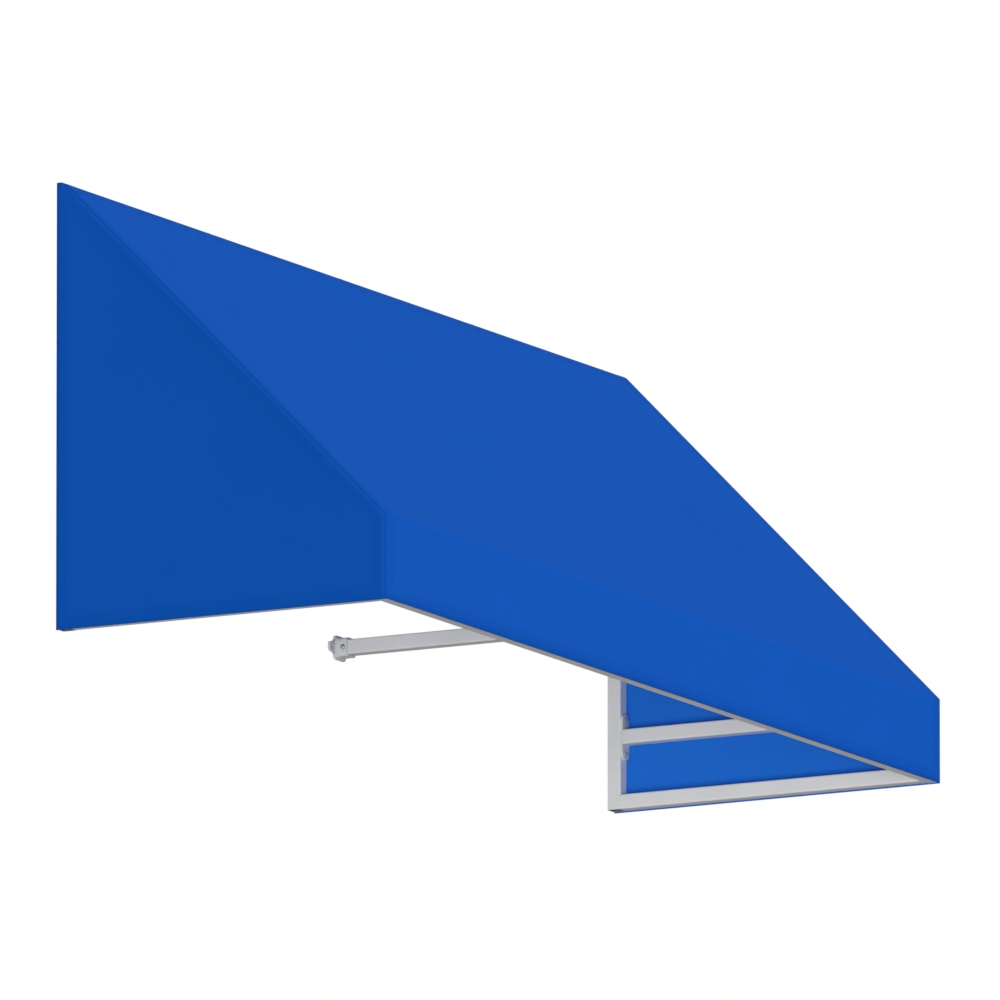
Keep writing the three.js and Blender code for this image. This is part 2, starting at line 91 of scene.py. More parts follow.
# ======================================================================= the studio
# White all round, brightest at eye level and dim from below, with five broad soft lamps. The
# pale floor lies far below the awning, as it hangs on a wall, and takes no part in lighting it.
FLOOR_BELOW = 8
FLOOR_RADIUS = 5
FLOOR_SIDES = 96
FLOOR_TONE = (0.93, 0.93, 0.93, 1)
FLOOR_GLOW = 0.42
LIGHT_FROM = [(0.0, 0.06), (0.47, 0.34), (0.53, 0.2), (1.0, 0.15)]
# name: (towards the lamp, strength, spread in degrees)
LAMPS = {
    "front_lamp": ((-0.1, -1.0, 0.15), 0.95, 60),
    "low_left_lamp": ((-1.0, -0.35, -0.32), 2.05, 35),
    "high_lamp": ((0.0, -1.0, 1.0), 1.8, 60),
    "right_lamp": ((1.0, 0.0, 0.1), 0.8, 50),
    "back_lamp": ((0.2, 1.0, 0.3), 0.9, 60),
}

scene = bpy.context.scene
scene.view_settings.view_transform = "Standard"


def node(tree, kind, **inputs):
    """A shader node with some of its inputs set or joined. _0 is its first input, _1 its second."""
    made = tree.nodes.new(kind)
    for name, value in inputs.items():
        numbered = name[1:].isdigit()
        socket = made.inputs[int(name[1:]) if numbered else name.replace("_", " ")]
        if isinstance(value, bpy.types.NodeSocket):
            tree.links.new(value, socket)
        else:
            socket.default_value = value
    return made


def ramp(tree, amount, stops):
    """A colour ramp with grey or coloured stops."""
    made = node(tree, "ShaderNodeValToRGB", Fac=amount)
    while len(made.color_ramp.elements) < len(stops):
        made.color_ramp.elements.new(0.5)
    for element, (place, tone) in zip(made.color_ramp.elements, stops):
        element.position = place
        element.color = tone if isinstance(tone, tuple) else (tone, tone, tone, 1)
    return made.outputs["Color"]


world = bpy.data.worlds.new("white_studio")
world.use_nodes = True
world.node_tree.nodes.clear()
scene.world = world
way = node(world.node_tree, "ShaderNodeTexCoord")
height = node(world.node_tree, "ShaderNodeSeparateXYZ", Vector=way.outputs["Generated"])
share = node(world.node_tree, "ShaderNodeMath", _0=height.outputs["Z"], _1=0.5, _2=0.5)
share.operation = "MULTIPLY_ADD"
glow = ramp(world.node_tree, share.outputs[0], LIGHT_FROM)
sky = node(world.node_tree, "ShaderNodeBackground", Color=glow)
white = node(world.node_tree, "ShaderNodeBackground", Color=(1, 1, 1, 1))
seen = node(world.node_tree, "ShaderNodeLightPath")
either = node(
    world.node_tree, "ShaderNodeMixShader",
    Fac=seen.outputs["Is Camera Ray"], _1=sky.outputs[0], _2=white.outputs[0],
)
node(world.node_tree, "ShaderNodeOutputWorld", Surface=either.outputs[0])

for name, (towards, strength, spread) in LAMPS.items():
    lamp = bpy.data.objects.new(name, bpy.data.lights.new(name, "SUN"))
    lamp.data.energy = strength
    lamp.data.angle = math.radians(spread)
    lamp.rotation_mode = "QUATERNION"
    lamp.rotation_quaternion = Vector(towards).to_track_quat("Z", "Y")
    scene.collection.objects.link(lamp)

floor_form = bmesh.new()
bmesh.ops.create_circle(floor_form, cap_ends=True, segments=FLOOR_SIDES, radius=FLOOR_RADIUS)
floor_mesh = bpy.data.meshes.new("floor")
floor_form.to_mesh(floor_mesh)
floor_form.free()
floor = bpy.data.objects.new("floor", floor_mesh)
floor.location.z = -FLOOR_BELOW
floor.visible_diffuse = False
floor.visible_glossy = False
floor.visible_shadow = False
scene.collection.objects.link(floor)

# Seen from below, the floor is clear, so that the awning can be looked at from underneath.
floor_finish = bpy.data.materials.new("pale_floor")
floor_finish.use_nodes = True
floor_tree = floor_finish.node_tree
floor_shader = floor_tree.nodes["Principled BSDF"]
floor_shader.inputs["Base Color"].default_value = FLOOR_TONE
floor_shader.inputs["Emission Color"].default_value = FLOOR_TONE
floor_shader.inputs["Emission Strength"].default_value = FLOOR_GLOW
floor_shader.inputs["Roughness"].default_value = 0.9
floor_side = node(floor_tree, "ShaderNodeNewGeometry")
clear = node(floor_tree, "ShaderNodeBsdfTransparent")
floor_mix = node(
    floor_tree, "ShaderNodeMixShader",
    Fac=floor_side.outputs["Backfacing"], _1=floor_shader.outputs[0], _2=clear.outputs[0],
)
floor_tree.links.new(floor_mix.outputs[0], floor_tree.nodes["Material Output"].inputs["Surface"])
floor_mesh.materials.append(floor_finish)

# ======================================================================= square tube and the rails
# The frame is 25 mm square steel tube with a 1.2 mm wall and rolled corners, powder coated light
# grey. Inside it is bare steel, painted dark as the shade in the tubes' open ends. Three rails run
# the full width: the header at the wall, the eave rail and the bottom rail.
TUBE = 0.025
TUBE_WALL = 0.0012
TUBE_CORNER = 0.003
CORNER_STEPS = 6
CORNER_LEAD = 0.0004
TUBE_SHARP = 25
COAT_GREY = (0.755, 0.75, 0.73, 1)
COAT_WORN = (0.82, 0.82, 0.80, 1)
COAT_SHADE = (0.71, 0.705, 0.685, 1)
# The dark and rusty steel tones paint the shade inside the tubes.
STEEL_PAINTED_SHADE = (0.12, 0.118, 0.115, 1)
STEEL_RUSTY_SHADE = (0.17, 0.155, 0.14, 1)
AXIS_TURN = {
    "x": Matrix.Rotation(math.pi / 2, 4, "Y"),
    "y": Matrix.Rotation(math.pi / 2, 4, "X"),
    "z": Matrix.Identity(4),
}


def finish(name, roughness, metallic=0.0, shine=0.5):
    """A new material and the shader in it."""
    made = bpy.data.materials.new(name)
    made.use_nodes = True
    shader = made.node_tree.nodes["Principled BSDF"]
    shader.inputs["Roughness"].default_value = roughness
    shader.inputs["Metallic"].default_value = metallic
    shader.inputs["Specular IOR Level"].default_value = shine
    return made, made.node_tree, shader


def place_in(tree):
    """The point's own place in metres."""
    return node(tree, "ShaderNodeTexCoord").outputs["Object"]


def grain(tree, scale, detail=2.0):
    """Fine or broad noise, with a scale in lumps to the metre."""
    made = node(
        tree, "ShaderNodeTexNoise",
        Vector=place_in(tree), Scale=scale, Detail=detail, Roughness=0.5,
    )
    return made.outputs["Fac"]


def relief(tree, shader, heights, depth):
    """Surface relief of a depth in metres, from heights of 0 to 1."""
    made = node(tree, "ShaderNodeBump", Height=heights, Distance=depth, Strength=1.0)
    tree.links.new(made.outputs[0], shader.inputs["Normal"])


def blend_colours(tree, amount, first, second):
    """One colour turning into another as the amount goes from 0 to 1."""
    made = node(tree, "ShaderNodeMix")
    made.data_type = "RGBA"
    for value, socket in ((amount, made.inputs[0]), (first, made.inputs[6]), (second, made.inputs[7])):
        if isinstance(value, bpy.types.NodeSocket):
            tree.links.new(value, socket)
        else:
            socket.default_value = value
    return made.outputs[2]


def powder_coat():
    """Light grey coat: faint orange peel, cloudy tone and paler, rubbed corners."""
    made, tree, shader = finish("grey_powder_coat", 0.5, shine=0.35)
    cloud = ramp(tree, grain(tree, 9, detail=3), [(0.35, 0.0), (0.65, 1.0)])
    tone = blend_colours(tree, cloud, COAT_SHADE, COAT_GREY)
    corner = node(tree, "ShaderNodeAttribute")
    corner.attribute_name = "corner"
    patchy = ramp(tree, grain(tree, 60, detail=4), [(0.42, 0.15), (0.62, 0.8)])
    rubbed = node(tree, "ShaderNodeMath", _0=corner.outputs["Fac"], _1=patchy)
    rubbed.operation = "MULTIPLY"
    tree.links.new(blend_colours(tree, rubbed.outputs[0], tone, COAT_WORN), shader.inputs["Base Color"])
    relief(tree, shader, grain(tree, 700, detail=1), 0.00006)
    return made


def bare_steel_painted_shade():
    """Bare steel inside the tubes, which the powder doesn't reach, painted dark as shade, with rusty
    patches.
    """
    made, tree, shader = finish("bare_steel_painted_shade", 0.6, shine=0.3)
    patches = grain(tree, 120, detail=4)
    tree.links.new(blend_colours(tree, patches, STEEL_PAINTED_SHADE, STEEL_RUSTY_SHADE), shader.inputs["Base Color"])
    return made


GREY_COAT = powder_coat()
BARE_STEEL_PAINTED_SHADE = bare_steel_painted_shade()


def tube_ring(form, half, corner, z):
    """One ring of a square tube's section: each point, and how rubbed the coat is there."""
    inner = half - corner
    ring = []
    for quarter in range(4):
        turn = Matrix.Rotation(quarter * math.pi / 2, 2)
        flat = [(Vector((half, inner - CORNER_LEAD)), 0.0)]
        arc = []
        for step in range(CORNER_STEPS + 1):
            angle = step / CORNER_STEPS * math.pi / 2
            place = (inner + corner * math.cos(angle), inner + corner * math.sin(angle))
            arc.append((Vector(place), math.sin(2 * angle)))
        last = [(Vector((inner - CORNER_LEAD, half)), 0.0)]
        for point, rubbed in flat + arc + last:
            turned = turn @ point
            vert = form.verts.new((turned.x, turned.y, z))
            ring.append((vert, rubbed))
    return ring


def join_rings(form, ring_a, ring_b, material_index=0):
    """A band of faces between two rings of as many points."""
    for i in range(len(ring_a)):
        j = (i + 1) % len(ring_a)
        face = form.faces.new((ring_a[i], ring_a[j], ring_b[j], ring_b[i]))
        face.material_index = material_index


def square_tube(length):
    """A length of tube along Z, centred, with its wall and open ends."""
    form = bmesh.new()
    rub = form.verts.layers.float.new("corner")
    rings = []
    for sunk in (0, TUBE_WALL):
        half, corner = TUBE / 2 - sunk, TUBE_CORNER - sunk
        for z in (-length / 2, length / 2):
            ring = tube_ring(form, half, corner, z)
            for vert, rubbed in ring:
                vert[rub] = rubbed
            rings.append([vert for vert, _ in ring])
    outer_low, outer_high, inner_low, inner_high = rings
    join_rings(form, outer_low, outer_high)
    # The inside faces take the bare steel, painted dark as shade.
    join_rings(form, inner_high, inner_low, material_index=1)
    join_rings(form, inner_low, outer_low)
    join_rings(form, outer_high, inner_high)
    return form


def smooth_by_angle(form, degrees):
    """Round stretches shade smoothly and real edges stay sharp."""
    limit = math.radians(degrees)
    for face in form.faces:
        face.smooth = True
    for edge in form.edges:
        edge.smooth = len(edge.link_faces) == 2 and edge.calc_face_angle(0) < limit


def add_piece(name, form, material, slot, *stands_for):
    """The form as a piece of the awning, standing for the frame's plain nodes."""
    bmesh.ops.recalc_face_normals(form, faces=form.faces)
    mesh = bpy.data.meshes.new(name)
    form.to_mesh(mesh)
    form.free()
    mesh.materials.append(material)
    piece = bpy.data.objects.new(name, mesh)
    scene.collection.objects.link(piece)
    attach(piece, "root")
    if stands_for:
        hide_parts(*stands_for)
    return piece


def add_coated(node_name, form):
    """A tube of the frame, coated outside and bare inside, the inside painted dark as shade."""
    smooth_by_angle(form, TUBE_SHARP)
    piece = add_piece(f"{node_name}_coated", form, GREY_COAT, "frame_tube", node_name)
    piece.data.materials.append(BARE_STEEL_PAINTED_SHADE)


def add_tube(node_name, axis):
    """A straight tube where the frame has it, along one axis."""
    low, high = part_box(node_name)
    form = square_tube(getattr(high - low, axis))
    bmesh.ops.transform(form, matrix=AXIS_TURN[axis], verts=form.verts)
    bmesh.ops.translate(form, vec=(low + high) / 2, verts=form.verts)
    add_coated(node_name, form)


for rail in ("header_tube", "eave_rail", "front_bottom_rail"):
    add_tube(rail, "x")

# ======================================================================= uprights
# One upright at each end of the header, flat on the wall. Its open foot is level with the
# underside of the bottom tubes.
for upright in ("left_upright", "right_upright"):
    add_tube(upright, "z")

# ======================================================================= rafters
# Three rafters carry the roof. Each is cut plumb where it meets the header, and plumb and level
# where it sits on the eave rail.
RAFTER_BLANK = 1.2


def nose_height(node_name):
    """How high the roof side of a rafter is at its front end."""
    low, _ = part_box(node_name)
    front = [v.co.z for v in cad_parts[node_name].data.vertices if v.co.y < low.y + 1e-5]
    return max(front)


def add_rafter(node_name):
    """A tube laid on the roof's slope and cut off by the three planes of the node's own box."""
    low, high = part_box(node_name)
    top = Vector((0, high.y, high.z))
    run = Vector((0, high.y - low.y, high.z - nose_height(node_name)))
    slope = math.atan2(run.z, run.y)
    form = square_tube(RAFTER_BLANK)
    turn = Matrix.Rotation(slope, 4, "X") @ AXIS_TURN["y"]
    bmesh.ops.transform(form, matrix=turn, verts=form.verts)
    under = Vector((0, math.sin(slope), -math.cos(slope))) * (TUBE / 2)
    bmesh.ops.translate(form, vec=top - run / 2 + under, verts=form.verts)
    bmesh.ops.translate(form, vec=((low.x + high.x) / 2, 0, 0), verts=form.verts)
    for point, outwards in ((high, (0, 1, 0)), (low, (0, -1, 0)), (low, (0, 0, -1))):
        cut = bmesh.ops.bisect_plane(
            form, geom=form.verts[:] + form.edges[:] + form.faces[:],
            plane_co=point, plane_no=outwards, clear_outer=True,
        )
        rim = [item for item in cut["geom_cut"] if isinstance(item, bmesh.types.BMEdge)]
        bmesh.ops.triangle_fill(form, use_beauty=True, edges=rim)
    add_coated(node_name, form)


for rafter in ("left_rafter", "middle_rafter", "right_rafter"):
    add_rafter(rafter)

# ======================================================================= posts and bottom tubes
# Short posts stand between the bottom rail and the eave rail. A tube at each side closes the
# bottom of the frame between the upright and the bottom rail.
for post in ("left_front_post", "middle_front_post", "right_front_post"):
    add_tube(post, "z")
for side_tube in ("left_bottom_tube", "right_bottom_tube"):
    add_tube(side_tube, "y")

# ======================================================================= arms
# Three level arms brace the eave rail from the uprights and from the wall. Their ends slide over
# spigots, so they are not welded.
for arm in ("left_arm", "middle_arm", "right_arm"):
    add_tube(arm, "y")

# ======================================================================= welds
# Where a tube butts on another, a short bead of weld runs along the sides that face inwards. The
# outer sides are ground flush, so that the canvas and the wall lie flat on them.
BEAD = 0.0016
BEAD_SIDES = 8
BEAD_STEP = 0.0007
RIPPLE_PITCH = 0.0022
RIPPLE_SHARE = 0.16
UNEVEN_SHARE = 0.12
UNEVEN_SCALE = 300
BLUNT_POWER = 8
BEAD_MARGIN = TUBE_CORNER / 2
BEAD_SHARP = 70
UNLIKE_EACH = 25


def weld_bead(form, start, end):
    """A rippled bead from start to end, along the corner between two tubes."""
    along = (end - start).normalized()
    first = along.orthogonal().normalized()
    second = along.cross(first)
    length = (end - start).length
    count = max(6, round(length / BEAD_STEP))
    rings = []
    for step in range(count + 1):
        share = step / count
        taper = math.sqrt(max(0.0, 1 - abs(2 * share - 1) ** BLUNT_POWER)) * 0.999 + 0.001
        ripple = 1 + RIPPLE_SHARE * abs(math.sin(math.pi * share * length / RIPPLE_PITCH))
        middle = start + along * (share * length)
        lump = noise.noise(middle * UNEVEN_SCALE + (start + end) * UNLIKE_EACH)
        uneven = 1 + UNEVEN_SHARE * lump
        size = BEAD * taper * ripple * uneven
        ring = []
        for side in range(BEAD_SIDES):
            angle = 2 * math.pi * side / BEAD_SIDES
            outwards = first * math.cos(angle) + second * math.sin(angle)
            ring.append(form.verts.new(middle + outwards * size))
        rings.append(ring)
    for ring_a, ring_b in zip(rings, rings[1:]):
        join_rings(form, ring_a, ring_b)
    form.faces.new(reversed(rings[0]))
    form.faces.new(rings[-1])


def up_run(x, y, low, high):
    """A run up a vertical corner, from the height of one box's foot to its head."""
    return Vector((x, y, low.z + BEAD_MARGIN)), Vector((x, y, high.z - BEAD_MARGIN))


def deep_run(x, z, low, high):
    """A run from front to back across a box."""
    return Vector((x, low.y + BEAD_MARGIN, z)), Vector((x, high.y - BEAD_MARGIN, z))


def cross_run(y, z, low, high):
    """A run from left to right across a box."""
    return Vector((low.x + BEAD_MARGIN, y, z)), Vector((high.x - BEAD_MARGIN, y, z))


def inner_sides(low, high, inwards):
    """The X of each side of a tube that faces inwards: both sides of a middle one."""
    if inwards == 0:
        return [high.x, low.x]
    return [high.x if inwards > 0 else low.x]


def weld_runs():
    """Each joint's name and the runs of its beads, from the tubes' own places."""
    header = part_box("header_tube")
    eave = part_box("eave_rail")
    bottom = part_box("front_bottom_rail")
    for side, inwards in (("left", 1), ("middle", 0), ("right", -1)):
        sides = inner_sides(*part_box(f"{side}_rafter"), inwards)
        yield f"weld_{side}_rafter_header", [up_run(x, header[0].y, *header) for x in sides]
        yield f"weld_{side}_rafter_eave", [deep_run(x, eave[1].z, *eave) for x in sides]
        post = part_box(f"{side}_front_post")
        for where, z in (("head", eave[0].z), ("foot", bottom[1].z)):
            runs = [deep_run(x, z, *post) for x in inner_sides(*post, inwards)]
            yield f"weld_{side}_post_{where}", [*runs, cross_run(post[1].y, z, *post)]
        if inwards == 0:
            continue
        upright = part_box(f"{side}_upright")
        [x] = inner_sides(*upright, inwards)
        yield f"weld_{side}_upright_header", [deep_run(x, header[0].z, *upright)]
        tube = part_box(f"{side}_bottom_tube")
        for where, y in (("back", upright[0].y), ("front", bottom[1].y)):
            runs = [up_run(x, y, *tube), cross_run(y, tube[1].z, *tube)]
            yield f"weld_{side}_bottom_tube_{where}", runs


for name, runs in weld_runs():
    bead_form = bmesh.new()
    bead_form.verts.layers.float.new("corner")
    for start, end in runs:
        weld_bead(bead_form, start, end)
    smooth_by_angle(bead_form, BEAD_SHARP)
    add_piece(name, bead_form, GREY_COAT, "frame_tube")

# ======================================================================= castings
# The wall socket and the spigots are grey die castings: a flange with two holes and a square
# sleeve or post. Their edges are soft and their skin is slightly sandy.
CAST_GREY = (0.70, 0.695, 0.68, 1)
CAST_SHADE = (0.61, 0.605, 0.59, 1)
CAST_EDGE = 0.0007
EAR_SLACK = 0.0002
EAR_CUTS = 3
SAME_PLACE = 2e-6
FLAT_ANGLE = 1
HARD_ANGLE = 38
ROUND_ANGLE = 32


def cast_skin():
    """Matt grey casting with a sandy skin, paler where its edges are rubbed."""
    made, tree, shader = finish("grey_casting", 0.55, shine=0.3)
    cloud = ramp(tree, grain(tree, 60, detail=4), [(0.35, 0.0), (0.65, 1.0)])
    tone = blend_colours(tree, cloud, CAST_SHADE, CAST_GREY)
    form_of = node(tree, "ShaderNodeNewGeometry")
    rubbed = ramp(tree, form_of.outputs["Pointiness"], [(0.52, 0.0), (0.58, 0.6)])
    tree.links.new(blend_colours(tree, rubbed, tone, COAT_WORN), shader.inputs["Base Color"])
    relief(tree, shader, grain(tree, 1600, detail=2), 0.00008)
    return made


def round_ears(form, node_name):
    """The round ends of a spigot's eared flange as fine arcs."""
    low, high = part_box(node_name)
    middle, size = (low + high) / 2, high - low
    lengthways = 0 if size.x > size.z else 2
    crossways = 2 - lengthways
    radius = size[crossways] / 2
    reach = size[lengthways] / 2 - radius

    def ear_centre(vert):
        """The middle of the nearer ear, level with the point."""
        centre = middle.copy()
        centre[lengthways] += math.copysign(reach, vert.co[lengthways] - middle[lengthways])
        centre.y = vert.co.y
        return centre

    def on_rim(vert):
        way = vert.co - ear_centre(vert)
        outside = abs(vert.co[lengthways] - middle[lengthways]) >= reach - EAR_SLACK
        return outside and abs(way.length - radius) < EAR_SLACK

    def on_one_rim(edge):
        """Whether an edge is a chord of one ear's rim, on one face of the flange."""
        first, second = edge.verts
        level = abs(first.co.y - second.co.y) < EAR_SLACK
        short = (first.co - second.co).length < radius
        return level and short and on_rim(first) and on_rim(second)

    rim = [edge for edge in form.edges if on_one_rim(edge)]
    cut = bmesh.ops.subdivide_edges(form, edges=rim, cuts=EAR_CUTS, use_grid_fill=True)
    for vert in {item for item in cut["geom_inner"] if isinstance(item, bmesh.types.BMVert)}:
        centre = ear_centre(vert)
        vert.co = centre + (vert.co - centre).normalized() * radius


def finished_form(node_name, edge, rounded=None):
    """The node's own form with its faces merged and its hard edges softened."""
    form = bmesh.new()
    form.from_mesh(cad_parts[node_name].data)
    bmesh.ops.remove_doubles(form, verts=form.verts, dist=SAME_PLACE)
    flat = math.radians(FLAT_ANGLE)
    bmesh.ops.dissolve_limit(form, angle_limit=flat, verts=form.verts, edges=form.edges)
    if rounded:
        rounded(form, node_name)
    hard = [
        corner for corner in form.edges
        if len(corner.link_faces) == 2 and corner.calc_face_angle(0) > math.radians(HARD_ANGLE)
    ]
    bmesh.ops.bevel(
        form, geom=hard, offset=edge, segments=2, profile=0.5, affect="EDGES", clamp_overlap=True,
    )
    smooth_by_angle(form, ROUND_ANGLE)
    return form


def add_finished(node_name, word, edge, material, slot, rounded=None):
    """The node with its hard edges softened. rounded can first turn its outline into true arcs."""
    form = finished_form(node_name, edge, rounded=rounded)
    return add_piece(f"{node_name}_{word}", form, material, slot, node_name)


CASTING = cast_skin()
add_finished("middle_arm_wall_socket", "cast", CAST_EDGE, CASTING, "cast_bracket")
for spigot in ("left_arm_rear_spigot", "middle_arm_front_spigot", "right_arm_rear_spigot"):
    add_finished(spigot, "cast", CAST_EDGE / 2, CASTING, "cast_bracket", rounded=round_ears)
for spigot in ("left_arm_front_spigot", "right_arm_front_spigot"):
    add_finished(spigot, "cast", CAST_EDGE / 2, CASTING, "cast_bracket")

# ======================================================================= wall clips
# Folded zinc-plated strip. One leg is screwed to the frame and the other has a hole for a wall
# bolt.
ZINC_BRIGHT = (0.66, 0.67, 0.68, 1)
ZINC_DULL = (0.59, 0.60, 0.62, 1)
CLIP_EDGE = 0.0004


def zinc_plate(name, spangle, roughness):
    """Zinc plating, clouded by its crystals and finely brushed."""
    made, tree, shader = finish(name, roughness, metallic=0.85)
    crystals = node(tree, "ShaderNodeTexVoronoi", Vector=place_in(tree), Scale=spangle)
    clouded = ramp(tree, crystals.outputs["Distance"], [(0.1, 0.0), (0.7, 1.0)])
    tree.links.new(blend_colours(tree, clouded, ZINC_DULL, ZINC_BRIGHT), shader.inputs["Base Color"])
    relief(tree, shader, grain(tree, 900, detail=2), 0.00003)
    return made


PLATED_STRIP = zinc_plate("zinc_strip", 260, 0.42)
for place in ("left_header", "middle_header", "right_header", "left_upright", "right_upright"):
    add_finished(f"{place}_clip", "plated", CLIP_EDGE, PLATED_STRIP, "zinc_clip")

# ======================================================================= batten
# A flat plated bar along the top of the header, under the top edge of the canvas.
BATTEN_EDGE = 0.0008
add_finished("top_batten", "plated", BATTEN_EDGE, PLATED_STRIP, "batten")

# ======================================================================= screws
# Zinc-plated self-tapping screws with a pan head and a cross recess hold the spigots, the clips
# and the batten.
SCREW_EDGE = 0.00022
PLATED_SCREW = zinc_plate("zinc_screws", 700, 0.3)
for node_name in sorted(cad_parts):
    if "screw" in node_name:
        add_finished(node_name, "plated", SCREW_EDGE, PLATED_SCREW, "zinc_screw")

# ======================================================================= canvas
# Solution-dyed blue canvas, plain woven, with its back painted a lighter blue as painted light.
# Every edge is turned under once and stitched, so it is two layers thick there and the single cloth
# lies a little lower. The doubled hems and the gaps between threads are painted darker, as painted
# shade.
PLY = 0.0005
HEM = 0.025
HEM_FADE = 0.007
SINGLE_DROP = 0.0004
EDGE_BULGE = 0.0003
CLOTH_STEP = 0.012
FINE_STEP = 0.0016
THREAD_PITCH = 0.0007
THREAD_ROUND = 0.6
SLUBS_TO_METRE = (900, 14, 1)
# The weave tone darkens the gaps between threads and the hem tone the doubled hems: painted shade.
WEAVE_PAINTED_SHADE = 0.4
HEM_PAINTED_SHADE = -0.35
WEAVE_DEEP = 0.00007
CANVAS_BLUE = (0.0042, 0.084, 0.445, 1)
CANVAS_DEEP = (0.0034, 0.071, 0.385, 1)
# The back: lighter copies of the canvas blues, painted light for the brighter inside.
CANVAS_BACK_PAINTED_LIGHT = (0.017, 0.160, 0.66, 1)
CANVAS_BACK_DEEP_PAINTED_LIGHT = (0.014, 0.140, 0.59, 1)


def maths(tree, operation, first, second=0.5, third=0.5):
    """A sum on up to three values. Operations that take fewer leave out the rest."""
    made = node(tree, "ShaderNodeMath", _0=first, _1=second, _2=third)
    made.operation = operation
    return made.outputs[0]


def canvas_finish(name, light, deep):
    """Plain weave over the cloth's own flat map, with slubs and broad clouds, painted shade in the gaps
    between threads and on the doubled hems.
    """
    made, tree, shader = finish(name, 0.85, shine=0.02)
    flat_map = node(tree, "ShaderNodeUVMap")
    flat_map.uv_map = "cloth"
    across = node(tree, "ShaderNodeSeparateXYZ", Vector=flat_map.outputs[0])
    turns = math.pi / THREAD_PITCH
    warp = maths(tree, "SINE", maths(tree, "MULTIPLY", across.outputs["X"], turns))
    weft = maths(tree, "SINE", maths(tree, "MULTIPLY", across.outputs["Y"], turns))
    over = maths(tree, "GREATER_THAN", maths(tree, "MULTIPLY", warp, weft), 0.0)
    warp_high = maths(tree, "POWER", maths(tree, "ABSOLUTE", warp), THREAD_ROUND)
    weft_high = maths(tree, "POWER", maths(tree, "ABSOLUTE", weft), THREAD_ROUND)
    rise = maths(tree, "SUBTRACT", warp_high, weft_high)
    weave = maths(tree, "MULTIPLY_ADD", rise, over, weft_high)
    stretched = node(tree, "ShaderNodeVectorMath", _0=flat_map.outputs[0], _1=SLUBS_TO_METRE)
    stretched.operation = "MULTIPLY"
    slub = node(tree, "ShaderNodeTexNoise", Vector=stretched.outputs[0], Scale=1.0, Detail=2.0)
    slubs = ramp(tree, slub.outputs["Fac"], [(0.3, 0.35), (0.7, 0.65)])
    clouds = ramp(tree, grain(tree, 3.5, detail=3), [(0.3, 0.3), (0.7, 0.7)])
    doubled = node(tree, "ShaderNodeAttribute")
    doubled.attribute_name = "doubled"
    body = maths(tree, "MULTIPLY_ADD", slubs, 0.5, maths(tree, "MULTIPLY", clouds, 0.5))
    # The weave's low places are painted darker and its crowns lighter, as painted shade between the
    # threads.
    woven = maths(tree, "MULTIPLY_ADD", weave, WEAVE_PAINTED_SHADE, body)
    # Doubled cloth is painted darker, as painted shade.
    depth = maths(tree, "MULTIPLY_ADD", doubled.outputs["Fac"], HEM_PAINTED_SHADE, woven)
    held = node(tree, "ShaderNodeClamp", Value=depth)
    tree.links.new(blend_colours(tree, held.outputs[0], deep, light), shader.inputs["Base Color"])
    relief(tree, shader, weave, WEAVE_DEEP)
    return made


CANVAS = canvas_finish("blue_canvas", CANVAS_BLUE, CANVAS_DEEP)
CANVAS_INSIDE_PAINTED_LIGHT = canvas_finish("blue_canvas_back_painted_light", CANVAS_BACK_PAINTED_LIGHT, CANVAS_BACK_DEEP_PAINTED_LIGHT)


def smooth_step(amount):
    """0 to 1 with level ends."""
    held = min(1.0, max(0.0, amount))
    return held * held * (3 - 2 * held)


def single_share(edge_distance, hem):
    """0 where the cloth is doubled by a hem of that width, 1 where it is single."""
    return smooth_step((edge_distance - hem) / HEM_FADE + 0.5)


def stations(low, high, fine_places, extra=()):
    """Places from low to high, a cloth step apart, and closer where a hem ends."""
    count = math.ceil((high - low) / CLOTH_STEP)
    places = [low + (high - low) * i / count for i in range(count + 1)]
    for middle in fine_places:
        reach = HEM_FADE / 2 + FINE_STEP
        places = [p for p in places if abs(p - middle) > reach or p in (low, high)]
        fine_count = round(2 * reach / FINE_STEP)
        places += [middle - reach + 2 * reach * i / fine_count for i in range(fine_count + 1)]
    places = [p for p in places if all(abs(p - q) > FINE_STEP / 2 for q in extra)]
    return sorted({round(p, 7) for p in [*places, *extra] if low <= p <= high})


